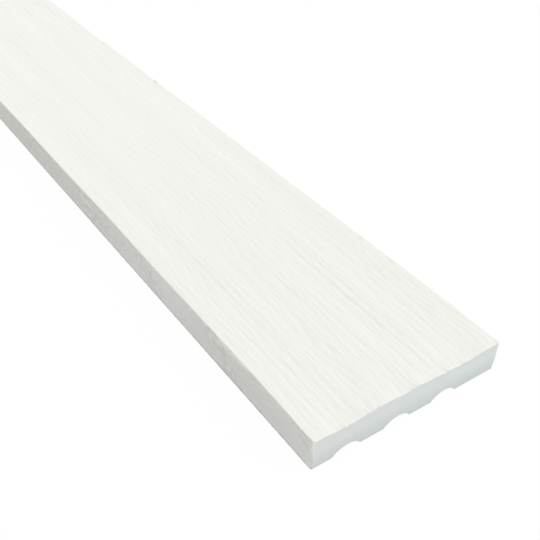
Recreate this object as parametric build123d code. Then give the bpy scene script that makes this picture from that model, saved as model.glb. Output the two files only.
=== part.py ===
from build123d import *

import os

# Fibre cement trim board: one piece of stock with eased edges and relief grooves along its back.
# The board lies on its back. X runs along the length, Y across the width and Z through the thickness.
# The origin is the middle of the footprint, in the plane of the back. Sizes are in millimetres.

# Board
LENGTH = 3657.6  # 12 ft, the usual length of trim stock
WIDTH = 139.7  # 5 1/2 in face
THICKNESS = 22.2  # 7/8 in, back to face

# Easing of the four long edges
FACE_EDGE_RADIUS = 0.5
BACK_EDGE_RADIUS = 0.6

# Relief grooves, milled along the back with a round cutter
GROOVE_COUNT = 3
GROOVE_CUTTER_RADIUS = 12.7  # 1 in cutter
GROOVE_DEPTH = 4.8
GROOVE_PITCH = 36.5
FIRST_GROOVE_FROM_EDGE = 24.0  # groove centre line to the -Y edge; the far margin is the wider one


def blank_section():
    """The section before grooving: a rectangle on the ground line, its four corners eased."""
    section = Pos(0, THICKNESS / 2) * Rectangle(WIDTH, THICKNESS)
    section = fillet(section.vertices().group_by(Axis.Y)[-1], FACE_EDGE_RADIUS)
    return fillet(section.vertices().group_by(Axis.Y)[0], BACK_EDGE_RADIUS)


def groove_sections():
    """The cutter's circles, evenly spaced, each reaching one groove depth above the back."""
    centre_height = GROOVE_DEPTH - GROOVE_CUTTER_RADIUS
    first = FIRST_GROOVE_FROM_EDGE - WIDTH / 2
    return [
        Pos(first + number * GROOVE_PITCH, centre_height) * Circle(GROOVE_CUTTER_RADIUS)
        for number in range(GROOVE_COUNT)
    ]


def trim_board():
    """The grooved section, run the full length of the board and sawn square at both ends."""
    section = blank_section() - groove_sections()
    return extrude(Plane.YZ * section, LENGTH / 2, both=True)


os.makedirs("parts", exist_ok=True)
board = trim_board()
board.label = "trim_board"
export_step(board, "parts/trim_board.step")
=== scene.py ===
# %% [markdown]
# A fibre cement trim board is one long piece of stock. Thin films of cement and wood fibre are laid up
# and pressed with a wood grain in the face. Relief grooves are milled along the back, the board is
# primed off-white, and it is sawn to length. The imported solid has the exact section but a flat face.
# We could paint the grain on it as a bump, but a bump vanishes at the outline, and this grain makes the
# sawn edge wavy. So we rebuild the skin as a fine mesh.

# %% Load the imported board
import math

import bmesh
import bpy
from mathutils import Matrix, Vector, noise


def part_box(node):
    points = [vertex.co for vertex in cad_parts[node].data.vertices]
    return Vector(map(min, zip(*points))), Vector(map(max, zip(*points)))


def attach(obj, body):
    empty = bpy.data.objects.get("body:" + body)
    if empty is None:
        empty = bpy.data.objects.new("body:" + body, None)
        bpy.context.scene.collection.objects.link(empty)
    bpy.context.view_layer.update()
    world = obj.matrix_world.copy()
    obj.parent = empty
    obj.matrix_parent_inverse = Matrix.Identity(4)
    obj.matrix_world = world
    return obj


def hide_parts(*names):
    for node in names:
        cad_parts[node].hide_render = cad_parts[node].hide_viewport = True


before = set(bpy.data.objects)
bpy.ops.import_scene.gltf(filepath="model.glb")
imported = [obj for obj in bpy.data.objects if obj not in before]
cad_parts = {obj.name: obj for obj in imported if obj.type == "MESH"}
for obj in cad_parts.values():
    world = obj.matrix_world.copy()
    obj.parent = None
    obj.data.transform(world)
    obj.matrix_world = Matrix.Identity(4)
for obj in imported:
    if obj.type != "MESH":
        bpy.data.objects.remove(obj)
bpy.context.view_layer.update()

# The origin is the middle of the back, so the highest corner gives all three
HALF_LENGTH, HALF_WIDTH, FACE_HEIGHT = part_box("trim_board")[1]
print("board", round(2 * HALF_LENGTH, 4), "x", round(2 * HALF_WIDTH, 4), "x", round(FACE_HEIGHT, 4), "m")

# %% [markdown]
# The section is the board's fingerprint: a rectangle with eased corners and three round grooves in its
# back. We could model half and mirror it, but the grooves sit off-centre. So we draw the outline once,
# at the near end, as wire: a vertex spun round the cutter's centre makes each groove, and a vertex bevel
# eases each corner. A mark on each long edge parts its plain lower part from the band below the face,
# which will need finer cells.

# %% Draw the section
FACE_EDGE_RADIUS = 0.0005
BACK_EDGE_RADIUS = 0.0006
CORNER_SEGMENTS = 3
GROOVE_COUNT = 3
GROOVE_CUTTER_RADIUS = 0.0127
GROOVE_DEPTH = 0.0048
GROOVE_PITCH = 0.0365
FIRST_GROOVE_FROM_EDGE = 0.024
GROOVE_SEGMENTS = 12
EDGE_BAND = 0.008

board = bmesh.new()


def section_point(across, height):
    """A vertex of the section, in the plane of the near end."""
    return board.verts.new((HALF_LENGTH, across, height))


def relief_groove(centre):
    """Spins one groove from its left lip to its right lip, and returns the two lips."""
    cutter_height = GROOVE_DEPTH - GROOVE_CUTTER_RADIUS
    half_angle = math.acos(-cutter_height / GROOVE_CUTTER_RADIUS)
    first_lip = section_point(centre - GROOVE_CUTTER_RADIUS * math.sin(half_angle), 0.0)
    arc = bmesh.ops.spin(
        board, geom=[first_lip], cent=(HALF_LENGTH, centre, cutter_height), axis=(1, 0, 0),
        angle=-2 * half_angle, steps=GROOVE_SEGMENTS, use_duplicate=False,
    )
    return first_lip, arc["geom_last"][0]


back_line = [section_point(-HALF_WIDTH, 0.0)]
for number in range(GROOVE_COUNT):
    back_line.extend(relief_groove(FIRST_GROOVE_FROM_EDGE - HALF_WIDTH + number * GROOVE_PITCH))
back_line.append(section_point(HALF_WIDTH, 0.0))
for left, right in zip(back_line[0::2], back_line[1::2]):
    board.edges.new((left, right))

sides = (-HALF_WIDTH, HALF_WIDTH)
back_corners = [back_line[0], back_line[-1]]
band_marks = [section_point(across, FACE_HEIGHT - EDGE_BAND) for across in sides]
face_corners = [section_point(across, FACE_HEIGHT) for across in sides]
board.edges.new(face_corners)
for back_corner, mark, face_corner in zip(back_corners, band_marks, face_corners):
    board.edges.new((back_corner, mark))
    board.edges.new((mark, face_corner))

for corners, radius in ((face_corners, FACE_EDGE_RADIUS), (back_corners, BACK_EDGE_RADIUS)):
    bmesh.ops.bevel(
        board, geom=corners, offset=radius, offset_type="OFFSET", segments=CORNER_SEGMENTS, profile=0.5,
        affect="VERTICES", material=-1,
    )
print("section outline has", len(board.edges), "edges")

# %% [markdown]
# Relief needs fine cells, but only where it is. The face is cut into cells of about half a millimetre,
# because grain lines are narrow, and the band below it nearly as finely. The rest of each long edge is
# plain.

# %% Cut the outline into cells
FACE_CELLS = 232
BAND_ROWS = 9
LOWER_EDGE_ROWS = 3
TOUCHING = 1e-6


def on_flat(vertex):
    """Whether a vertex lies on the flat of the face or of a long edge."""
    return abs(vertex.co.z - FACE_HEIGHT) < TOUCHING or abs(abs(vertex.co.y) - HALF_WIDTH) < TOUCHING


def flat_lines(lowest, highest):
    """The outline's lines on those flats, between two heights."""
    return [
        line for line in board.edges
        if all(on_flat(end) and lowest - TOUCHING < end.co.z < highest + TOUCHING for end in line.verts)
    ]


band_bottom = FACE_HEIGHT - EDGE_BAND
for lowest, highest, cells in (
    (FACE_HEIGHT, FACE_HEIGHT, FACE_CELLS),
    (band_bottom, FACE_HEIGHT - FACE_EDGE_RADIUS, BAND_ROWS),
    (BACK_EDGE_RADIUS, band_bottom, LOWER_EDGE_ROWS),
):
    bmesh.ops.subdivide_edges(board, edges=flat_lines(lowest, highest), cuts=cells - 1)
print("outline has", len(board.edges), "cells")

# %% [markdown]
# Along the board the grain is slow, so the steps can be longer than the cells are wide. We extrude the
# outline by a whole run at a time and cut the new long lines into steps, which is far quicker than one
# extrude per step. Lines on the back stay whole, because nothing changes along them. Past the part that
# is seen close, every second line of the face is dissolved.

# %% Run the outline along the board
CLOSE_RUN, CLOSE_STEP = 0.35, 0.0035
MIDDLE_RUN, MIDDLE_STEP = 0.35, 0.005
FAR_STEP = 0.010
SAME_STATION = 1e-5


def on_back(vertex):
    """Whether a vertex lies on the lands or in the grooves of the back."""
    below_groove_tops = vertex.co.z < GROOVE_DEPTH + TOUCHING
    return below_groove_tops and abs(vertex.co.y) < HALF_WIDTH - BACK_EDGE_RADIUS + TOUCHING


def outline_at(station):
    """The edges of the outline at a place along the board."""
    return [
        line for line in board.edges
        if all(abs(end.co.x - station) < SAME_STATION for end in line.verts)
    ]


def runs_along(line):
    """Whether a line runs along the board."""
    return abs(line.verts[0].co.x - line.verts[1].co.x) > SAME_STATION


def run_outline(station, run, step):
    """Extrudes the outline at a station, cuts the run into even steps, and returns the new station."""
    made = bmesh.ops.extrude_edge_only(board, edges=outline_at(station))["geom"]
    points = [item for item in made if isinstance(item, bmesh.types.BMVert)]
    bmesh.ops.translate(board, vec=(-run, 0, 0), verts=points)
    long_lines = [
        line for point in points if not on_back(point)
        for line in point.link_edges if runs_along(line)
    ]
    steps = round(run / step)
    if steps > 1:
        bmesh.ops.subdivide_edges(board, edges=long_lines, cuts=steps - 1)
    return station - run


middle_start = run_outline(HALF_LENGTH, CLOSE_RUN, CLOSE_STEP)
middle_end = run_outline(middle_start, MIDDLE_RUN, MIDDLE_STEP)
far_start = run_outline(middle_end, FAR_STEP, FAR_STEP)
face_lines = [
    line for line in board.edges
    if runs_along(line) and all(
        end.co.x < middle_end + SAME_STATION and abs(end.co.z - FACE_HEIGHT) < TOUCHING
        for end in line.verts
    )
]
face_lines.sort(key=lambda line: line.verts[0].co.y)
bmesh.ops.dissolve_edges(board, edges=face_lines[1:-1:2], use_verts=True)
far_end = run_outline(far_start, far_start + HALF_LENGTH, FAR_STEP)
for station in (HALF_LENGTH, far_end):
    bmesh.ops.edgeloop_fill(board, edges=outline_at(station))
bmesh.ops.recalc_face_normals(board, faces=board.faces[:])
print("faces", len(board.faces), "open edges", sum(not line.is_manifold for line in board.edges))

# %% [markdown]
# The press leaves two scales of relief. The slower one is a soft swell. It is deepest at the sawn end,
# where the edge dips over a millimetre between crests. A Displace modifier could add a noise, but we want
# the crests where the real board has them, so at the sawn end we list them, and along the board a shallow
# noise takes over. From here on the grain is described in millimetres.

# %% Describe the swell
SAWN_SWELL_DEPTH = 1.4
SAWN_SWELL_REACH = 32.0
SWELL_DEPTH = 0.75
SWELL_PITCH = 16.0
SWELL_LENGTH = 220.0
SWELL_LOW, SWELL_HIGH = -0.55, 0.55
# Each noise of the relief reads a slice of its own, so that no two of them keep step
SWELL_SLICE = 0.5
CREST_SHARE = 0.1
# Crests and hollows of the sawn end: place from the left edge, share of the depth
SAWN_SWELLS = (
    (0, 0.10), (9, 0.12), (22, 0.95), (45, 0.00), (63, 0.85), (73, 0.08),
    (83, 0.30), (96, 1.00), (111, 0.90), (130, 0.05), (140, 0.70),
)


def ease(start, end, value):
    """0 at start, 1 at end, and a smooth ramp between them."""
    share = min(max((value - start) / (end - start), 0.0), 1.0)
    return share * share * (3 - 2 * share)


def sawn_swell(from_left):
    """The share of the swell depth at a place across the sawn end."""
    for (start, first), (end, second) in zip(SAWN_SWELLS, SAWN_SWELLS[1:]):
        if from_left <= end:
            return first + (second - first) * ease(start, end, from_left)
    return SAWN_SWELLS[-1][1]


def swell_depth(from_end, from_left):
    """The slow hollows of the face."""
    strength = noise.noise((from_end / SWELL_LENGTH, from_left / SWELL_PITCH, SWELL_SLICE))
    return SWELL_DEPTH * ease(SWELL_LOW, SWELL_HIGH, strength)


def sawn_swell_depth(from_end, from_left):
    """The deeper hollows of the sawn end."""
    return SAWN_SWELL_DEPTH * sawn_swell(from_left) * ease(SAWN_SWELL_REACH, 0.0, from_end)


print("crests of the sawn end at", [place for place, share in SAWN_SWELLS if share < CREST_SHARE], "mm")

# %% [markdown]
# The finer scale is the grain itself: shallow grooves some five millimetres apart, which wander, fade
# and start again. Noise could scatter them all, but near the sawn end they catch the eye, so there the
# main ones are listed, and noise only makes them stray and varies their strength. Pressed grain
# also leans: the left wall of a groove is the steeper one, so each groove is pulled to the left.

# %% Place the grooves near the sawn end
# Place from the left edge, start and stop from the near end, shift between them, half width and depth
NEAR_GROOVES = (
    (5.6, -10, 62, 0.6, 1.8, 0.15), (13.5, -40, 160, 1.6, 2.2, 0.36), (19.7, -40, 72, 0.2, 1.9, 0.39),
    (21.2, 62, 112, 0.6, 1.8, 0.22), (26.0, -6, 192, 0.4, 2.1, 0.29), (30.3, -40, 70, 0.2, 1.9, 0.33),
    (30.4, 66, 170, 0.6, 1.9, 0.29), (35.0, 84, 160, 0.4, 1.6, 0.15), (39.0, -40, 72, 0.4, 2.1, 0.27),
    (42.5, 90, 160, 0.6, 2.1, 0.17), (49.3, 56, 132, 0.6, 1.9, 0.22), (56.8, 4, 104, 0.8, 2.0, 0.24),
    (61.1, 56, 166, 0.4, 2.2, 0.30), (65.1, 168, 204, 0.0, 1.7, 0.29), (65.2, 200, 250, 0.4, 1.8, 0.30),
    (67.6, 14, 96, 1.0, 3.0, 0.27), (75.3, 4, 70, 0.2, 1.8, 0.22), (74.2, 58, 106, 0.2, 1.8, 0.27),
    (80.5, -8, 106, 0.2, 2.2, 0.32), (79.6, 184, 250, 1.2, 2.2, 0.19), (88.0, -50, 170, 0.6, 2.3, 0.34),
    (93.6, -50, 176, 1.4, 2.5, 0.34), (97.6, 176, 224, 0.2, 2.6, 0.32), (102.4, -20, 104, 2.2, 3.2, 0.37),
    (105.0, 98, 168, 0.2, 3.0, 0.33), (105.4, 172, 262, 0.8, 2.8, 0.29), (113.4, 0, 106, 0.4, 2.5, 0.27),
    (115.6, 94, 134, 0.4, 3.2, 0.33), (114.0, 124, 172, 0.4, 2.5, 0.22), (121.8, 30, 128, 0.6, 2.2, 0.27),
    (128.9, 56, 106, 0.4, 2.6, 0.22), (133.4, 26, 166, 1.0, 2.1, 0.20),
)
WANDER, WANDER_LENGTH, WANDER_WIDTH = 0.45, 14.0, 11.0
PULL = 0.45
RUN_OUT = 0.25  # share of a groove's run in which it fades in or out
WEAKEST, STRONGEST = 0.85, 1.40
BREAK_LENGTH, FAR_BREAK_LENGTH, BREAK_WIDTH = 11.0, 24.0, 4.0
BREAK_LOW, BREAK_HIGH = -0.45, 0.35  # noise under the first is no grain, over the second full grain
CALM_START, CALM_END = 60.0, 220.0  # distances from the near end
WANDER_SLICE, BREAK_SLICE = 2.2, 7.7


def wander(from_end, from_left):
    """How far the grain strays sideways at a place."""
    return WANDER * noise.noise((from_end / WANDER_LENGTH, from_left / WANDER_WIDTH, WANDER_SLICE))


def breaks(from_end, from_left):
    """How strong the grain is at a place: it comes and goes along its run."""
    near_run = min(from_end, CALM_END)
    along = near_run / BREAK_LENGTH + (from_end - near_run) / FAR_BREAK_LENGTH
    return ease(BREAK_LOW, BREAK_HIGH, noise.noise((along, from_left / BREAK_WIDTH, BREAK_SLICE)))


def near_groove_depth(from_end, from_left):
    """The sum of the grooves placed near the sawn end."""
    total = 0.0
    for place, start, stop, shift, half_width, depth in NEAR_GROOVES:
        if start < from_end < stop and abs(from_left - place) < half_width + abs(shift):
            along = (from_end - start) / (stop - start)
            offset = (from_left - place - shift * along) / half_width
            offset = min(max(offset, -1.0), 1.0)
            pulled = offset + PULL * (1 - offset ** 2)
            total += depth * (1 - pulled ** 2) ** 2 * ease(0.0, RUN_OUT, min(along, 1 - along))
    return total * (WEAKEST + (STRONGEST - WEAKEST) * breaks(from_end, from_left))


print(len(NEAR_GROOVES), "grooves placed by hand")

# %% [markdown]
# Between and beyond those grooves runs a wave across the board, which slow noise shifts and breaks up.
# Stretched noise alone would be simpler, but its streaks come at any distance, and pressed grain is more
# even. So that noise only makes the short fine streaks on top. The wave leans as the grooves do, and away
# from the sawn end it all grows calmer.

# %% Fill in the streaks
STREAK_PITCH, STREAK_LENGTH = 5.6, 32.0
STREAK_DEPTH, FAR_STREAK_DEPTH = 0.32, 0.21
FINE_WIDTH, FINE_LENGTH = 2.4, 10.0
FINE_DEPTH, FAR_FINE_DEPTH = 0.16, 0.08
STREAK_SLICE, FINE_SLICE = 1.3, 2.3
# The placed grooves grow shallower towards the sawn end, on a ramp that would end beyond it
FADED, UNFADED = -12.0, 10.0


def calmer(near_value, far_value, from_end):
    """A value that changes on the way from the sawn end to the calmer grain of the rest."""
    return near_value + (far_value - near_value) * ease(CALM_START, CALM_END, from_end)


def streak_depth(from_end, from_left):
    """Streaks at nearly even distances: a wave across the board, shifted by slow noise."""
    shift = noise.noise((from_end / STREAK_LENGTH, from_left / (2 * STREAK_PITCH), STREAK_SLICE))
    phase = math.tau * (from_left / STREAK_PITCH + shift)
    leaning_wave = 0.5 + 0.5 * math.sin(phase + PULL * math.sin(phase))
    depth = calmer(STREAK_DEPTH, FAR_STREAK_DEPTH, from_end)
    return depth * breaks(from_end, from_left) * leaning_wave


def fine_depth(from_end, from_left):
    """Short fine streaks, from stretched noise."""
    depth = calmer(FINE_DEPTH, FAR_FINE_DEPTH, from_end)
    strength = noise.noise((from_end / FINE_LENGTH, from_left / FINE_WIDTH, FINE_SLICE))
    return depth * (0.5 + 0.5 * strength)


def grain_depth(from_end, from_left):
    """Placed grooves, streaks where there are none, and fine streaks, where the grain has strayed to."""
    across = from_left + wander(from_end, from_left)
    grooves = near_groove_depth(from_end, across) * ease(FADED, UNFADED, from_end)
    room_for_streaks = 1 - ease(0.0, STREAK_DEPTH, grooves)
    return grooves + room_for_streaks * streak_depth(from_end, across) + fine_depth(from_end, across)


print("streaks every", STREAK_PITCH, "mm, at most", STREAK_DEPTH, "mm deep")

# %% [markdown]
# The long edges of the face are worn in places: rubbed low on the left, and nicked in a few spots on the
# right. Noise could wear them anywhere, but these places show in the outline, so the main ones are
# listed, and a gentle noise wears the rest. Towards the right edge the face rises a little.

# %% Describe the worn edges
# Centre from the near end, half length and depth of each worn place
LEFT_DIPS = ((0, 55, 1.0), (170, 75, 0.75), (315, 110, 1.2))
RIGHT_NICKS = ((1.0, 3.0, 0.4), (92.7, 3.5, 0.5), (123.0, 3.5, 0.5), (414.5, 4.5, 1.2), (524.5, 5.5, 0.8))
DIP_REACH, NICK_REACH = 50.0, 1.8
LOOSE_WEAR, LOOSE_WEAR_LENGTH = 0.7, 95.0
LOOSE_WEAR_LOW, LOOSE_WEAR_HIGH = 0.05, 0.6
LOOSE_WEAR_START, LOOSE_WEAR_FULL = 350.0, 430.0
RAGGEDNESS, KNOCK_LENGTH = 0.3, 14.0
KNOCK_LOW, KNOCK_HIGH = -0.1, 0.6
LOOSE_WEAR_SLICE, KNOCK_SLICE = 9.4, 4.1
LEFT_SEED, RIGHT_SEED = 102.12, 40.3
RIGHT_RISE, RIGHT_RISE_REACH = 0.4, 35.0


def edge_dip(from_end, dips):
    """How far an edge is lowered at a place along the board."""
    return max(
        depth * ease(half_length, 0.0, abs(from_end - centre)) for centre, half_length, depth in dips
    )


def loose_wear(from_end, side):
    """Slow wear along the edge, away from the near end."""
    strength = noise.noise((from_end / LOOSE_WEAR_LENGTH, side, LOOSE_WEAR_SLICE))
    amount = ease(LOOSE_WEAR_LOW, LOOSE_WEAR_HIGH, strength)
    return LOOSE_WEAR * amount * ease(LOOSE_WEAR_START, LOOSE_WEAR_FULL, from_end)


def raggedness(from_end, side):
    """Small knocks all along the edge."""
    strength = noise.noise((from_end / KNOCK_LENGTH, side, KNOCK_SLICE))
    return RAGGEDNESS * ease(KNOCK_LOW, KNOCK_HIGH, strength)


def edge_depth(from_end, from_left, from_right):
    """Wear of both edges together."""
    left = edge_dip(from_end, LEFT_DIPS) + loose_wear(from_end, LEFT_SEED)
    left_knocks = raggedness(from_end, LEFT_SEED) * ease(NICK_REACH, 0.0, from_left)
    right = edge_dip(from_end, RIGHT_NICKS) + raggedness(from_end, RIGHT_SEED)
    right_wear = loose_wear(from_end, RIGHT_SEED) * ease(DIP_REACH, 0.0, from_right)
    return (
        left * ease(DIP_REACH, 0.0, from_left) + left_knocks
        + right * ease(NICK_REACH, 0.0, from_right) + right_wear
    )


def right_rise(from_right):
    """How far the face rises towards the right edge."""
    return RIGHT_RISE * ease(RIGHT_RISE_REACH, 0.0, from_right)


print("deepest dip", max(depth for centre, half_length, depth in LEFT_DIPS), "mm")

# %% [markdown]
# Now we press it all in. Each vertex of the face sinks by its depth, and the band below follows, so that
# the grain runs out over the edge. Where the right edge is nicked, which the paint darkens as painted
# shade, and how dark the long edges have aged, are kept on the mesh as attributes, because the paint will
# need them.

# %% Press the grain into the face
MM = 0.001
NICK_SHADE_REACH = 3.8
AGE_LENGTH, AGE_SLICE = 100.0, 3.3

nick_shade_layer = board.verts.layers.float.new("nick_shade")
age_layer = board.verts.layers.float.new("age")
deepest = 0.0
for vertex in board.verts:
    from_end = (HALF_LENGTH - vertex.co.x) / MM
    from_left = (HALF_WIDTH + vertex.co.y) / MM
    from_right = (HALF_WIDTH - vertex.co.y) / MM
    seed = LEFT_SEED if from_left < from_right else RIGHT_SEED
    vertex[age_layer] = 0.5 - 0.5 * noise.noise((from_end / AGE_LENGTH, seed, AGE_SLICE))
    # The nick mask also carries the dark grey painted shade inside the nicks
    vertex[nick_shade_layer] = edge_dip(from_end, RIGHT_NICKS) * ease(NICK_SHADE_REACH, 0.0, from_right)
    grain = swell_depth(from_end, from_left) + grain_depth(from_end, from_left)
    depth = (
        max(grain - right_rise(from_right), 0.0) + sawn_swell_depth(from_end, from_left)
        + edge_depth(from_end, from_left, from_right)
    )
    deepest = max(deepest, depth)
    follow = ease(FACE_HEIGHT - EDGE_BAND, FACE_HEIGHT - FACE_EDGE_RADIUS, vertex.co.z)
    vertex.co.z -= MM * follow * depth
print("deepest place", round(deepest, 2), "mm below the crests")

# %% [markdown]
# A saw leaves a sharp arris, and handling blunts it a little. A narrow bevel round both ends catches the
# light as the real corner does. The saw also leaned a little at the near end, so the upper part of the
# cut stands back from its foot. One big face would fold in stray places there, so it is first cut across
# at a few heights.

# %% Blunt the sawn ends
ARRIS = 0.0004
LEFT_LEAN, RIGHT_LEAN = 0.0012, 0.0005
LEAN_REACH = 0.020
LEAN_HEIGHTS = (0.008, 0.018)
LEAN_ROWS = 5


def near_cap():
    """The faces of the near end with their vertices and edges, always in the same order."""
    faces = [
        face for face in board.faces
        if all(corner.co.x > HALF_LENGTH - TOUCHING for corner in face.verts)
    ]
    return list(dict.fromkeys(part for face in faces for part in (face, *face.verts, *face.edges)))


for station in (HALF_LENGTH, far_end):
    bmesh.ops.bevel(
        board, geom=outline_at(station), offset=ARRIS, offset_type="OFFSET", segments=1, profile=0.5,
        affect="EDGES", material=-1, clamp_overlap=True,
    )
lowest, highest = LEAN_HEIGHTS
for row in range(LEAN_ROWS + 1):
    height = lowest + (highest - lowest) * row / LEAN_ROWS
    bmesh.ops.bisect_plane(board, geom=near_cap(), plane_co=(0, 0, height), plane_no=(0, 0, 1))
for vertex in board.verts:
    near = ease(HALF_LENGTH - LEAN_REACH, HALF_LENGTH, vertex.co.x)
    lean = LEFT_LEAN + (RIGHT_LEAN - LEFT_LEAN) * (HALF_WIDTH + vertex.co.y) / (2 * HALF_WIDTH)
    vertex.co.x -= lean * near * ease(*LEAN_HEIGHTS, vertex.co.z)
print("triangles", sum(len(face.verts) - 2 for face in board.faces))

# %% [markdown]
# One skin carries four finishes: the pressed face, the sawn long edges, the sawn ends and the milled
# back. The direction that a face looks in says which one it takes. Lines where two faces meet at a steep
# angle stay crisp, and the others are shaded smooth.

# %% Sort the faces by finish
FACE, LONG_EDGE, END, BACK = range(4)
LOOKS_UP, LOOKS_ALONG = 0.35, 0.65
CRISP_ANGLE = math.radians(40)

board.normal_update()
for face in board.faces:
    face.smooth = True
    if face.normal.z > LOOKS_UP:
        face.material_index = FACE
    elif abs(face.normal.x) > LOOKS_ALONG:
        face.material_index = END
    elif all(on_back(vertex) for vertex in face.verts):
        face.material_index = BACK
    else:
        face.material_index = LONG_EDGE

mesh = bpy.data.meshes.new("grained_board")
board.to_mesh(mesh)
board.free()
mesh.set_sharp_from_angle(angle=CRISP_ANGLE)
grained_board = bpy.data.objects.new("grained_board", mesh)
bpy.context.scene.collection.objects.link(grained_board)
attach(grained_board, "root")
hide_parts("trim_board")
print("grained_board has", len(mesh.polygons), "faces")

# %% [markdown]
# The finishes are node trees. In the editor we would drag each node in and wire it up, and in a script
# each node takes several lines. So we first write a small helper for each kind of node that comes often,
# and the finishes stay short enough to read.

# %% Write helpers for nodes


def add_node(tree, kind, inputs=None, **options):
    """Adds a node, sets its options, and gives each named input a value or a link."""
    node = tree.nodes.new(kind)
    for option, value in options.items():
        setattr(node, option, value)
    for socket, value in (inputs or {}).items():
        if isinstance(value, bpy.types.NodeSocket):
            tree.links.new(value, node.inputs[socket])
        else:
            node.inputs[socket].default_value = value
    return node


def mix_colour(tree, factor, first, second):
    """A colour between two, by a factor."""
    factor_socket, first_socket, second_socket, result_socket = 0, 6, 7, 2
    inputs = {factor_socket: factor, first_socket: first, second_socket: second}
    return add_node(tree, "ShaderNodeMix", inputs, data_type="RGBA").outputs[result_socket]


def mix_number(tree, factor, first, second):
    """A number between two, by a factor."""
    factor_socket, first_socket, second_socket, result_socket = 0, 2, 3, 0
    inputs = {factor_socket: factor, first_socket: first, second_socket: second}
    return add_node(tree, "ShaderNodeMix", inputs, data_type="FLOAT").outputs[result_socket]


def calculate(tree, operation, *values):
    """One Math node."""
    return add_node(tree, "ShaderNodeMath", dict(enumerate(values)), operation=operation).outputs[0]


def ramp(tree, value, start, end, low_value=0.0, high_value=1.0):
    """A smooth Map Range."""
    limits = {"From Min": start, "From Max": end, "To Min": low_value, "To Max": high_value}
    inputs = {"Value": value, **limits}
    return add_node(tree, "ShaderNodeMapRange", inputs, interpolation_type="SMOOTHSTEP").outputs[0]


def board_place(tree):
    """The board's own coordinates, in metres."""
    return add_node(tree, "ShaderNodeTexCoord").outputs["Object"]


def axes_of(tree, place):
    """The X, Y and Z of a place."""
    return add_node(tree, "ShaderNodeSeparateXYZ", {0: place}).outputs


def stretched_noise(tree, place, axis_scale, per_metre, detail=3.0):
    """Noise on the board's own coordinates, drawn out along each axis whose scale is under 1."""
    mapped = add_node(tree, "ShaderNodeMapping", {"Vector": place, "Scale": axis_scale})
    inputs = {"Vector": mapped.outputs[0], "Scale": per_metre, "Detail": detail}
    return add_node(tree, "ShaderNodeTexNoise", inputs).outputs[0]


def new_group(name, inputs, outputs):
    """An empty shader node group with named sockets, and its two end nodes."""
    group = bpy.data.node_groups.new(name, "ShaderNodeTree")
    for socket, kind in inputs.items():
        group.interface.new_socket(name=socket, in_out="INPUT", socket_type=kind)
    for socket, kind in outputs.items():
        group.interface.new_socket(name=socket, in_out="OUTPUT", socket_type=kind)
    return group, add_node(group, "NodeGroupInput").outputs, add_node(group, "NodeGroupOutput").inputs


print("node helpers written")

# %% [markdown]
# Every finish here is cement under a thin coat, with soft clouds of tone and a fine grit. Copying those
# nodes into four materials would make four things to keep in step. A node group is built once, and each
# material sets its own two tones on it.

# %% Build the cement tone group
COLOUR, NUMBER, DIRECTION = "NodeSocketColor", "NodeSocketFloat", "NodeSocketVector"
EVEN = (1.0, 1.0, 1.0)
CLOUD_SCALE, CLOUDS_PER_METRE = (0.35, 1.0, 1.0), 34.0
GRITS_PER_METRE = 1400.0

cement, given, result = new_group(
    "cement_tone", {"Light": COLOUR, "Dark": COLOUR}, {"Tone": COLOUR, "Grit": NUMBER},
)
place = board_place(cement)
clouds = stretched_noise(cement, place, CLOUD_SCALE, CLOUDS_PER_METRE, detail=4.0)
grit = stretched_noise(cement, place, EVEN, GRITS_PER_METRE, detail=2.0)
clouded = ramp(cement, clouds, 0.32, 0.70, 0.0, 0.6)
darkened = calculate(cement, "MAXIMUM", clouded, ramp(cement, grit, 0.62, 0.78))
cement.links.new(mix_colour(cement, darkened, given["Light"], given["Dark"]), result["Tone"])
cement.links.new(grit, result["Grit"])
print("cement_tone has", len(cement.nodes), "nodes")

# %% [markdown]
# A saw leaves faint leaning lines on whatever it cuts: the long edges and the ends. Where the back of
# the blade touches too, a second set leans the other way and tears the cut. A wave texture is too even for
# them, so noise is squeezed hard across the line, once for each lean, and the material says where the
# second set is. The mark is half where the cut is clean, more on a ridge and less in a scratch.

# %% Build the saw mark group
SWAYS_PER_METRE = 9.0
LEAST_SWAY, MOST_SWAY = 0.5, 1.5
LINE_LENGTH = 0.008
TORN_LENGTH, TORN_SPACING, TORN_SEED = 0.004, 0.80, 20.0
PATCHES_PER_METRE = 30.0
FAINT_LINE, STRONG_LINE = 0.25, 0.5
CLEAN_MARK = 0.5

saw, given, result = new_group(
    "saw_marks",
    {"Across": DIRECTION, "Lean": NUMBER, "Lines per metre": NUMBER, "Second pass": NUMBER},
    {"Mark": NUMBER},
)
place = board_place(saw)
height = axes_of(saw, place)["Z"]
travel = add_node(saw, "ShaderNodeVectorMath", {0: place, 1: given["Across"]}, operation="DOT_PRODUCT")
travel = travel.outputs["Value"]
swaying = stretched_noise(saw, place, (1.0, 1.0, 0.0), SWAYS_PER_METRE, detail=0.0)
sway = ramp(saw, swaying, 0.3, 0.7, LEAST_SWAY, MOST_SWAY)
drop = calculate(saw, "MULTIPLY", calculate(saw, "MULTIPLY", height, given["Lean"]), sway)


def squeezed_streaks(direction, spacing, length, seed):
    """Streaks that lean one way: noise squeezed across the line and drawn out along it."""
    per_metre = calculate(saw, "DIVIDE", given["Lines per metre"], spacing)
    path = calculate(saw, "MULTIPLY", calculate(saw, direction, travel, drop), per_metre)
    drawn_out = calculate(saw, "MULTIPLY_ADD", height, 1 / length, seed)
    spot = add_node(saw, "ShaderNodeCombineXYZ", {"X": path, "Y": drawn_out}).outputs[0]
    return add_node(saw, "ShaderNodeTexNoise", {"Vector": spot, "Scale": 1.0, "Detail": 3.0}).outputs[0]


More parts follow.
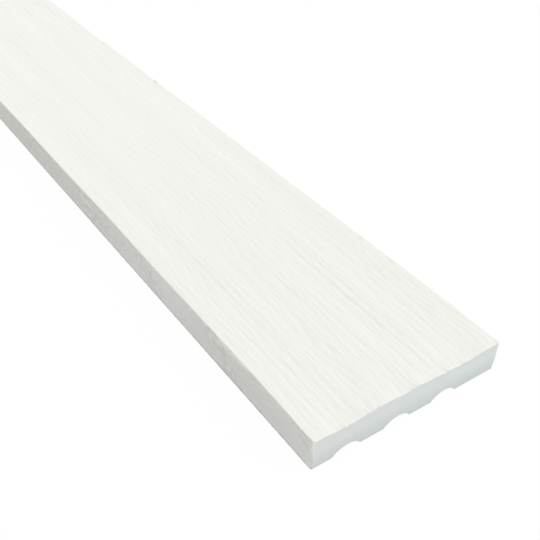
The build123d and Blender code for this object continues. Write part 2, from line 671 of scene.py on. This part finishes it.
lines = squeezed_streaks("SUBTRACT", spacing=1.0, length=LINE_LENGTH, seed=0.0)
tears = squeezed_streaks("ADD", spacing=TORN_SPACING, length=TORN_LENGTH, seed=TORN_SEED)
forward = ramp(saw, lines, 0.30, 0.70, -0.5, 0.5)
backward = ramp(saw, tears, 0.40, 0.58, -0.5, 0.5)
patchy = stretched_noise(saw, place, (1.0, 1.0, 0.6), PATCHES_PER_METRE, detail=2.0)
clean = calculate(saw, "MULTIPLY", forward, ramp(saw, patchy, 0.36, 0.62, FAINT_LINE, STRONG_LINE))
passes = mix_number(saw, given["Second pass"], clean, backward)
saw.links.new(calculate(saw, "ADD", passes, CLEAN_MARK), result["Mark"])
print("saw_marks has", len(saw.nodes), "nodes")

# %% [markdown]
# The upright corners of the sawn ends are painted pale: partly wear that shows pale cement, and partly
# a painted highlight along the arris, strongest at the top.
# Pointiness would find them, but it needs a fine mesh on both sides of the corner. The board's own
# coordinates give the distance exactly, once the lean of the cut is taken off.

# %% Build the corner wear and highlight group
CORNER_CORE = 0.0005
CORNER_RAGGEDNESS, RAGS_PER_METRE = 0.001, 420.0
# The painted highlight is strongest near the top of the corner
LEAST_PALE_HEIGHT, MOST_PALE_HEIGHT, LEAST_PALE = 0.006, 0.019, 0.15

wear_and_highlight, given, result = new_group("corner_wear_and_highlight", {"Reach": NUMBER}, {"Worn and lit": NUMBER})
place = board_place(wear_and_highlight)
axes = axes_of(wear_and_highlight, place)
to_end = calculate(wear_and_highlight, "SUBTRACT", HALF_LENGTH, calculate(wear_and_highlight, "ABSOLUTE", axes["X"]))
to_edge = calculate(wear_and_highlight, "SUBTRACT", HALF_WIDTH, calculate(wear_and_highlight, "ABSOLUTE", axes["Y"]))
near_end = ramp(wear_and_highlight, axes["X"], 0.0, HALF_LENGTH)
leaning = calculate(wear_and_highlight, "MULTIPLY", near_end, ramp(wear_and_highlight, axes["Z"], *LEAN_HEIGHTS))
side_lean = ramp(wear_and_highlight, axes["Y"], -HALF_WIDTH, HALF_WIDTH, LEFT_LEAN, RIGHT_LEAN)
set_back = calculate(wear_and_highlight, "MULTIPLY", leaning, side_lean)
to_corner = calculate(wear_and_highlight, "SUBTRACT", calculate(wear_and_highlight, "ADD", to_end, to_edge), set_back)
ragged = stretched_noise(wear_and_highlight, place, EVEN, RAGS_PER_METRE)
distance = calculate(wear_and_highlight, "MULTIPLY_ADD", ragged, CORNER_RAGGEDNESS, to_corner)
near_corner = ramp(wear_and_highlight, distance, given["Reach"], CORNER_CORE)
near_top = ramp(wear_and_highlight, axes["Z"], LEAST_PALE_HEIGHT, MOST_PALE_HEIGHT, LEAST_PALE, 1.0)
wear_and_highlight.links.new(calculate(wear_and_highlight, "MULTIPLY", near_corner, near_top), result["Worn and lit"])
print("corner_wear_and_highlight has", len(wear_and_highlight.nodes), "nodes")

# %% [markdown]
# The face is matt off-white primer. It is rough with short fibres that are too small for the mesh, so a
# bump adds them. Near the sawn end, where the board is handled, the fibres stand up more and the paint is
# a hair greyer, and the nicks are painted dark grey as the shade inside them.

# %% Paint the grained face
MATT_SPECULAR = 0.3
PRIMER_LIGHT, PRIMER_DARK = (0.890, 0.895, 0.849, 1), (0.876, 0.883, 0.833, 1)
HANDLED_PRIMER = (0.852, 0.858, 0.808, 1)
# Dark grey painted shade inside the nicks of the right edge
NICK_PAINTED_SHADE = (0.45, 0.46, 0.46, 1)
# Distances from the near end at which each ramp starts and ends, and a share of its effect
HANDLED_FROM, HANDLED_TO, HANDLED_SHARE = 0.40, 0.12, 0.5
RAISED_FROM, RAISED_TO, LEAST_RAISED = 0.35, 0.10, 0.5
FIBRE_SCALE, FIBRES_PER_METRE, FIBRE_HEIGHT = (0.22, 1.0, 1.0), 580.0, 0.00045


def finish(name, roughness):
    """A material with its shader, ready for its nodes."""
    material = bpy.data.materials.new(name)
    material.use_nodes = True
    shader = material.node_tree.nodes["Principled BSDF"]
    shader.inputs["Roughness"].default_value = roughness
    shader.inputs["Specular IOR Level"].default_value = MATT_SPECULAR
    mesh.materials.append(material)
    return material.node_tree, shader


def place_group(tree, group, values):
    """A node group placed in a material with its own values or links."""
    return add_node(tree, "ShaderNodeGroup", values, node_tree=group).outputs


def attribute(tree, name):
    """A number that the mesh keeps at each vertex."""
    return add_node(tree, "ShaderNodeAttribute", attribute_name=name).outputs["Fac"]


def bump(tree, height, distance):
    """A Bump node of a real depth, in metres."""
    return add_node(tree, "ShaderNodeBump", {"Height": height, "Distance": distance}).outputs[0]


tree, shader = finish("primed_grained_face", 0.62)
tone = place_group(tree, cement, {"Light": PRIMER_LIGHT, "Dark": PRIMER_DARK})
place = board_place(tree)
along = axes_of(tree, place)["X"]
handled = ramp(tree, along, HALF_LENGTH - HANDLED_FROM, HALF_LENGTH - HANDLED_TO, 0.0, HANDLED_SHARE)
greyed = mix_colour(tree, handled, tone["Tone"], HANDLED_PRIMER)
# The nicks get painted shade
face_colour = mix_colour(tree, attribute(tree, "nick_shade"), greyed, NICK_PAINTED_SHADE)
tree.links.new(face_colour, shader.inputs["Base Color"])
fibres = stretched_noise(tree, place, FIBRE_SCALE, FIBRES_PER_METRE)
raised = ramp(tree, along, HALF_LENGTH - RAISED_FROM, HALF_LENGTH - RAISED_TO, LEAST_RAISED, 1.0)
standing_fibres = calculate(tree, "MULTIPLY", fibres, raised)
tree.links.new(bump(tree, standing_fibres, FIBRE_HEIGHT), shader.inputs["Normal"])
print("primed_grained_face has", len(tree.nodes), "nodes")

# %% [markdown]
# The long edges were sawn from a wider sheet and then primed thinly. They have aged lighter and darker
# along the board, and the saw's lines and the grit still show. The blade wobbled once a turn, so the torn
# patches come at nearly even distances: a cosine along the board places them, and noise frays them. The
# lower part is painted paler, as painted light against the shade from the floor, and the very bottom is
# painted darker, in blotches, as painted shade where the edge meets the floor.

# %% Finish the long edges
FIRST_WOBBLE, WOBBLE_SPACING, WOBBLE_LEAN = 0.067, 0.090, 1.5
EDGE_LINES = {"Across": (1, 0, 0), "Lean": 1.3, "Lines per metre": 950.0}
EDGE_MARK_HEIGHT = 0.00012
EDGE_LIGHT, EDGE_DARK = (0.862, 0.874, 0.838, 1), (0.822, 0.834, 0.790, 1)
AGED_EDGE = (0.670, 0.682, 0.632, 1)
EDGE_GRIT = (0.64, 0.65, 0.60, 1)
EDGE_SCRATCH, EDGE_RIDGE = (0.62, 0.63, 0.58, 1), (0.95, 0.955, 0.92, 1)
# Painted light: the lower part of the edge is painted paler towards the foot
LOWER_EDGE_PAINTED_LIGHT, PAINTED_LIGHT_TOP, PAINTED_LIGHT_FOOT = (0.90, 0.91, 0.88, 1), 0.009, 0.001
# Painted shade: the very bottom of the edge is painted darker, in blotches
EDGE_FOOT_SHADE, FOOT_SHADE_TOP, FOOT_SHADE_FOOT = (0.52, 0.52, 0.49, 1), 0.0022, 0.0009
BLOTCHES_PER_METRE = 350.0

tree, shader = finish("sawn_long_edge", 0.7)
tone = place_group(tree, cement, {"Light": EDGE_LIGHT, "Dark": EDGE_DARK})
place = board_place(tree)
axes = axes_of(tree, place)
from_end = calculate(tree, "SUBTRACT", HALF_LENGTH, axes["X"])
along_lean = calculate(tree, "MULTIPLY_ADD", axes["Z"], -WOBBLE_LEAN, from_end)
wobble = calculate(tree, "SUBTRACT", along_lean, FIRST_WOBBLE)
turn = calculate(tree, "COSINE", calculate(tree, "MULTIPLY", wobble, math.tau / WOBBLE_SPACING))
torn = calculate(tree, "ADD", turn, stretched_noise(tree, place, (1.0, 1.0, 0.5), 60.0))
marks = place_group(tree, saw, {**EDGE_LINES, "Second pass": ramp(tree, torn, 0.9, 1.4)})["Mark"]
aged = mix_colour(tree, attribute(tree, "age"), tone["Tone"], AGED_EDGE)
gritty = mix_colour(tree, ramp(tree, tone["Grit"], 0.55, 0.35, 0.0, 0.3), aged, EDGE_GRIT)
scratched = mix_colour(tree, ramp(tree, marks, CLEAN_MARK, 0.05, 0.0, 0.6), gritty, EDGE_SCRATCH)
ridged = mix_colour(tree, ramp(tree, marks, CLEAN_MARK, 0.95, 0.0, 0.8), scratched, EDGE_RIDGE)
# Painted light on the lower part of the edge
lightened_low = mix_colour(tree, ramp(tree, axes["Z"], PAINTED_LIGHT_TOP, PAINTED_LIGHT_FOOT, 0.0, 0.5), ridged, LOWER_EDGE_PAINTED_LIGHT)
blotchy = stretched_noise(tree, place, EVEN, BLOTCHES_PER_METRE, detail=2.0)
# Painted shade along the foot of the edge
near_foot = ramp(tree, axes["Z"], FOOT_SHADE_TOP, FOOT_SHADE_FOOT, 0.0, 0.8)
foot_shade = calculate(tree, "MULTIPLY", near_foot, ramp(tree, blotchy, 0.38, 0.62, 0.2, 1.0))
foot_shaded = mix_colour(tree, foot_shade, lightened_low, EDGE_FOOT_SHADE)
tree.links.new(bump(tree, marks, EDGE_MARK_HEIGHT), shader.inputs["Normal"])
print("sawn_long_edge has", len(tree.nodes), "nodes")

# %% [markdown]
# The edge that is seen has been knocked near its sawn end. A sliver of the skin has come off the upper
# edge and left a hollow that faces up, painted paler as painted light, with a crack above it in painted
# shadow. The corner has scuffs that slant down to it: pale lines of bare cement and painted highlight with
# painted shadow between them, and the corner itself is painted pale, partly wear and partly a painted
# highlight. Carving such small marks would need far finer cells, so they are painted: all follow from the
# distance to the near end and the distance below the face.

# %% Scuff the seen edge
SLIVER_CENTRE, SLIVER_HALF, SLIVER_DEPTH = 0.074, 0.019, 0.0044
CRACK_CENTRE, CRACK_HALF, CRACK_BELOW = 0.078, 0.005, 0.0009
CHIP_CENTRE, CHIP_HALF, CHIP_BELOW = 0.080, 0.009, 0.0021
SCUFF_SLANT, SCUFF_SPACING, FIRST_SCUFF = 0.58, 0.0026, 0.0064
SLIVER_RAGGEDNESS, SLIVER_OUTSIDE, SLIVER_INSIDE = 1.4, 1.8, 0.8
LINE_RAGGEDNESS, LINE_OUTSIDE, LINE_INSIDE = 0.001, 0.0012, 0.0006
# Painted light on the sliver's hollow; bare cement with painted highlight on the pale scuffs and the chip
SLIVER_PAINTED_LIGHT, BARE_CEMENT_AND_HIGHLIGHT = (0.97, 0.975, 0.945, 1), (0.98, 0.985, 0.965, 1)
SCUFF_SHADOW = (0.58, 0.59, 0.55, 1)
# Pale corner of the long edge: wear and painted highlight
EDGE_CORNER_WEAR_AND_HIGHLIGHT, EDGE_CORNER_PALE_REACH = (0.97, 0.975, 0.955, 1), 0.0021

below = calculate(tree, "SUBTRACT", FACE_HEIGHT, axes["Z"])
seen_side = ramp(tree, axes["Y"], 0.0, -HALF_WIDTH)
ragged = stretched_noise(tree, place, (1.0, 1.0, 2.0), 400.0)

beside = calculate(tree, "DIVIDE", calculate(tree, "SUBTRACT", from_end, SLIVER_CENTRE), SLIVER_HALF)
steep_ends = calculate(tree, "POWER", calculate(tree, "ABSOLUTE", beside), 4.0)
bowl = calculate(tree, "MULTIPLY_ADD", below, 1 / SLIVER_DEPTH, steep_ends)
ragged_bowl = calculate(tree, "MULTIPLY_ADD", ragged, SLIVER_RAGGEDNESS, bowl)
sliver = ramp(tree, ragged_bowl, SLIVER_OUTSIDE, SLIVER_INSIDE, 0.0, 0.8)


def short_line(centre, half_length, depth):
    """A thin ragged line along the board at a depth below the face."""
    beyond = calculate(tree, "ABSOLUTE", calculate(tree, "SUBTRACT", from_end, centre))
    aside = calculate(tree, "ABSOLUTE", calculate(tree, "SUBTRACT", below, depth))
    ragged_aside = calculate(tree, "MULTIPLY_ADD", ragged, LINE_RAGGEDNESS, aside)
    thin = ramp(tree, ragged_aside, LINE_OUTSIDE, LINE_INSIDE, 0.0, 0.8)
    return calculate(tree, "MULTIPLY", thin, ramp(tree, beyond, half_length, 0.5 * half_length))


crack = short_line(CRACK_CENTRE, CRACK_HALF, CRACK_BELOW)
chip = short_line(CHIP_CENTRE, CHIP_HALF, CHIP_BELOW)

slant = calculate(tree, "MULTIPLY_ADD", from_end, SCUFF_SLANT, below)
past_first = calculate(tree, "SUBTRACT", slant, FIRST_SCUFF)
waves = calculate(tree, "COSINE", calculate(tree, "MULTIPLY", past_first, math.tau / SCUFF_SPACING))
in_reach = ramp(tree, slant, FIRST_SCUFF + 1.7 * SCUFF_SPACING, FIRST_SCUFF + 1.1 * SCUFF_SPACING)
not_at_top = ramp(tree, slant, FIRST_SCUFF - 0.7 * SCUFF_SPACING, FIRST_SCUFF - 0.4 * SCUFF_SPACING)
scuffing = calculate(tree, "MULTIPLY", in_reach, not_at_top)
pale = calculate(tree, "MULTIPLY", scuffing, ramp(tree, waves, 0.2, 0.8))
dark = calculate(tree, "MULTIPLY", scuffing, ramp(tree, waves, -0.1, -0.8, 0.0, 0.6))

# Painted light on the sliver's hollow
sliver_lit = mix_colour(tree, calculate(tree, "MULTIPLY", sliver, seen_side), foot_shaded, SLIVER_PAINTED_LIGHT)
shadow = calculate(tree, "MULTIPLY", calculate(tree, "MAXIMUM", dark, crack), seen_side)
shaded = mix_colour(tree, shadow, sliver_lit, SCUFF_SHADOW)
# Pale scuffs and chip line: bare cement and painted highlight
bare_and_highlight = calculate(tree, "MULTIPLY", calculate(tree, "MAXIMUM", pale, chip), seen_side)
with_scuff_highlight = mix_colour(tree, bare_and_highlight, shaded, BARE_CEMENT_AND_HIGHLIGHT)
# Pale upright corner: wear and painted highlight
worn_and_lit = place_group(tree, wear_and_highlight, {"Reach": EDGE_CORNER_PALE_REACH})["Worn and lit"]
tree.links.new(mix_colour(tree, worn_and_lit, with_scuff_highlight, EDGE_CORNER_WEAR_AND_HIGHLIGHT), shader.inputs["Base Color"])
print("sawn_long_edge now has", len(tree.nodes), "nodes")

# %% [markdown]
# The sawn end is bare cement: cooler and greyer than the paint, with fine sand in it, painted shade that
# darkens it towards the back, and a drier tone towards the left. It could be one grey, but its tone
# changes evenly across and down, so two wide ramps on the board's coordinates give both, and the three
# groups do the rest.

# %% Finish the sawn ends
END_LINES = {"Across": (0, 1, 0), "Lean": 0.5, "Lines per metre": 300.0}
END_GRIT_HEIGHT = 0.00012
END_LIGHT, END_DARK = (0.738, 0.782, 0.773, 1), (0.716, 0.760, 0.751, 1)
DRY_CEMENT, DRY_FROM = (0.742, 0.739, 0.733, 1), 0.05
# Painted shade: the end grows darker towards the back, where it meets the floor
END_LOWER_SHADE, LOWER_SHADE_FROM, LOWER_SHADE_TO = (0.608, 0.666, 0.650, 1), 0.023, -0.010
END_SCRATCH = (0.62, 0.66, 0.66, 1)
# Pale upright corner of the end: wear and painted highlight
END_CORNER_WEAR_AND_HIGHLIGHT, END_CORNER_PALE_REACH = (0.95, 0.96, 0.94, 1), 0.0016

tree, shader = finish("sawn_end", 0.75)
tone = place_group(tree, cement, {"Light": END_LIGHT, "Dark": END_DARK})
marks = place_group(tree, saw, END_LINES)["Mark"]
worn_and_lit = place_group(tree, wear_and_highlight, {"Reach": END_CORNER_PALE_REACH})["Worn and lit"]
axes = axes_of(tree, board_place(tree))
dry = mix_colour(tree, ramp(tree, axes["Y"], DRY_FROM, -HALF_WIDTH, 0.0, 0.7), tone["Tone"], DRY_CEMENT)
# Painted shade towards the back of the end
shaded_low = mix_colour(tree, ramp(tree, axes["Z"], LOWER_SHADE_FROM, LOWER_SHADE_TO, 0.0, 1.15), dry, END_LOWER_SHADE)
scratched = mix_colour(tree, ramp(tree, marks, CLEAN_MARK, 0.0, 0.0, 0.06), shaded_low, END_SCRATCH)
tree.links.new(mix_colour(tree, worn_and_lit, scratched, END_CORNER_WEAR_AND_HIGHLIGHT), shader.inputs["Base Color"])
tree.links.new(bump(tree, tone["Grit"], END_GRIT_HEIGHT), shader.inputs["Normal"])
print("sawn_end has", len(tree.nodes), "nodes")

# %% [markdown]
# The back is sanded flat and milled. It is the plainest finish: thin primer with fine lines along the
# board. A wave texture would space the lines evenly, so noise is drawn out fifty times instead, and it
# gives both the tone and the bump.

# %% Finish the milled back
BACK_LIGHT, BACK_DARK = (0.842, 0.852, 0.815, 1), (0.805, 0.815, 0.775, 1)
SANDED_BACK = (0.76, 0.77, 0.73, 1)
SANDING_SCALE, SANDING_PER_METRE, SANDING_HEIGHT = (0.02, 1.0, 1.0), 700.0, 0.00008

tree, shader = finish("milled_back", 0.72)
tone = place_group(tree, cement, {"Light": BACK_LIGHT, "Dark": BACK_DARK})
sanding = stretched_noise(tree, board_place(tree), SANDING_SCALE, SANDING_PER_METRE, detail=2.0)
sanded = mix_colour(tree, ramp(tree, sanding, 0.4, 0.7, 0.0, 0.4), tone["Tone"], SANDED_BACK)
tree.links.new(sanded, shader.inputs["Base Color"])
tree.links.new(bump(tree, sanding, SANDING_HEIGHT), shader.inputs["Normal"])
print("milled_back has", len(tree.nodes), "nodes")

# %% [markdown]
# The floor is a plain pale sweep. To the camera it is white and keeps a trace of the board's soft shadow.
# To the light it is a middle grey, so that it doesn't fill the shaded edge from below. Light Path tells
# the two apart.

# %% Lay the floor
FLOOR_REACH = 30.0
FLOOR_CLEARANCE = 0.0002
FLOOR_GREY, FLOOR_WHITE = 0.72, 0.99
FLOOR_GLOW = 0.97


def grey(level):
    """A grey as a colour."""
    return (level, level, level, 1)


def seen_directly(tree):
    """1 for rays from the camera, a gloss or a clear surface, and 0 for light that only fills."""
    rays = add_node(tree, "ShaderNodeLightPath").outputs
    either = calculate(tree, "MAXIMUM", rays["Is Camera Ray"], rays["Is Glossy Ray"])
    return calculate(tree, "MAXIMUM", either, rays["Is Transmission Ray"])


plate = bmesh.new()
bmesh.ops.create_grid(plate, x_segments=1, y_segments=1, size=FLOOR_REACH)
bmesh.ops.translate(plate, vec=(0, 0, -FLOOR_CLEARANCE), verts=plate.verts[:])
floor_mesh = bpy.data.meshes.new("floor")
plate.to_mesh(floor_mesh)
plate.free()
floor = bpy.data.objects.new("floor", floor_mesh)
bpy.context.scene.collection.objects.link(floor)

pale_floor = bpy.data.materials.new("pale_floor")
pale_floor.use_nodes = True
tree = pale_floor.node_tree
tree.nodes.clear()
seen = seen_directly(tree)
floor_colour = mix_colour(tree, seen, grey(FLOOR_GREY), grey(FLOOR_WHITE))
matt = add_node(tree, "ShaderNodeBsdfDiffuse", {"Color": floor_colour})
white = add_node(tree, "ShaderNodeEmission", {"Color": grey(1.0), "Strength": 1.0})
glow = calculate(tree, "MULTIPLY", seen, FLOOR_GLOW)
surface = add_node(tree, "ShaderNodeMixShader", {0: glow, 1: matt.outputs[0], 2: white.outputs[0]})
add_node(tree, "ShaderNodeOutputMaterial", {"Surface": surface.outputs[0]})
floor_mesh.materials.append(pale_floor)
print("floor is", 2 * FLOOR_REACH, "m wide")

# %% [markdown]
# The light is a soft studio sky with one very wide lamp, above and a little beyond the near right corner.
# A small lamp would cast hard shadows in the grain. This one makes the face brightest, the sawn end next
# and the long edge darkest, and it rakes the grain from the right.

# %% Light the studio
SKY_LEVEL = 0.80
# The way to the lamp, as long as the light that it adds to a white surface facing it
LAMP_TOWARDS = Vector((0.16, 0.20, 0.22))
LAMP_SPREAD = math.radians(50)

world = bpy.data.worlds.new("studio")
bpy.context.scene.world = world
world.use_nodes = True
tree = world.node_tree
tree.nodes.clear()
level = ramp(tree, seen_directly(tree), 0.0, 1.0, SKY_LEVEL, 1.0)
sky = add_node(tree, "ShaderNodeBackground", {"Color": grey(1.0), "Strength": level})
add_node(tree, "ShaderNodeOutputWorld", {"Surface": sky.outputs[0]})

lamp_data = bpy.data.lights.new("wide_lamp", "SUN")
lamp_data.energy = LAMP_TOWARDS.length * math.pi
lamp_data.angle = LAMP_SPREAD
lamp = bpy.data.objects.new("wide_lamp", lamp_data)
bpy.context.scene.collection.objects.link(lamp)
lamp.rotation_mode = "QUATERNION"
lamp.rotation_quaternion = LAMP_TOWARDS.to_track_quat("Z", "Y")
bpy.context.scene.view_settings.view_transform = "Standard"
print("lamp energy", round(lamp_data.energy, 3))

# %% [markdown]
# The camera stands past the near end, to the left of the board and above it. We could set it by eye, but
# a pinhole fit to the board's outline in the photograph gives its place, its lens and its slight lean.

# %% Set the camera
CAMERA_PAST_END = 0.1657
CAMERA_LEFT = 0.2425
CAMERA_HEIGHT = 0.3052
CAMERA_AZIMUTH = math.radians(51.08)
CAMERA_ELEVATION = math.radians(37.17)
CAMERA_LEAN = math.radians(5.40)
CAMERA_LENS = 48.89

camera_data = bpy.data.cameras.new("camera")
camera_data.lens = CAMERA_LENS
camera = bpy.data.objects.new("camera", camera_data)
bpy.context.scene.collection.objects.link(camera)
aim = Matrix.Rotation(CAMERA_AZIMUTH, 4, "Z") @ Matrix.Rotation(math.pi / 2 - CAMERA_ELEVATION, 4, "X")
roll = Matrix.Rotation(CAMERA_LEAN, 4, "Z")
stand = Matrix.Translation((HALF_LENGTH + CAMERA_PAST_END, -CAMERA_LEFT, CAMERA_HEIGHT))
camera.matrix_world = stand @ aim @ roll
bpy.context.scene.camera = camera
print("camera at", [round(distance, 3) for distance in camera.location])
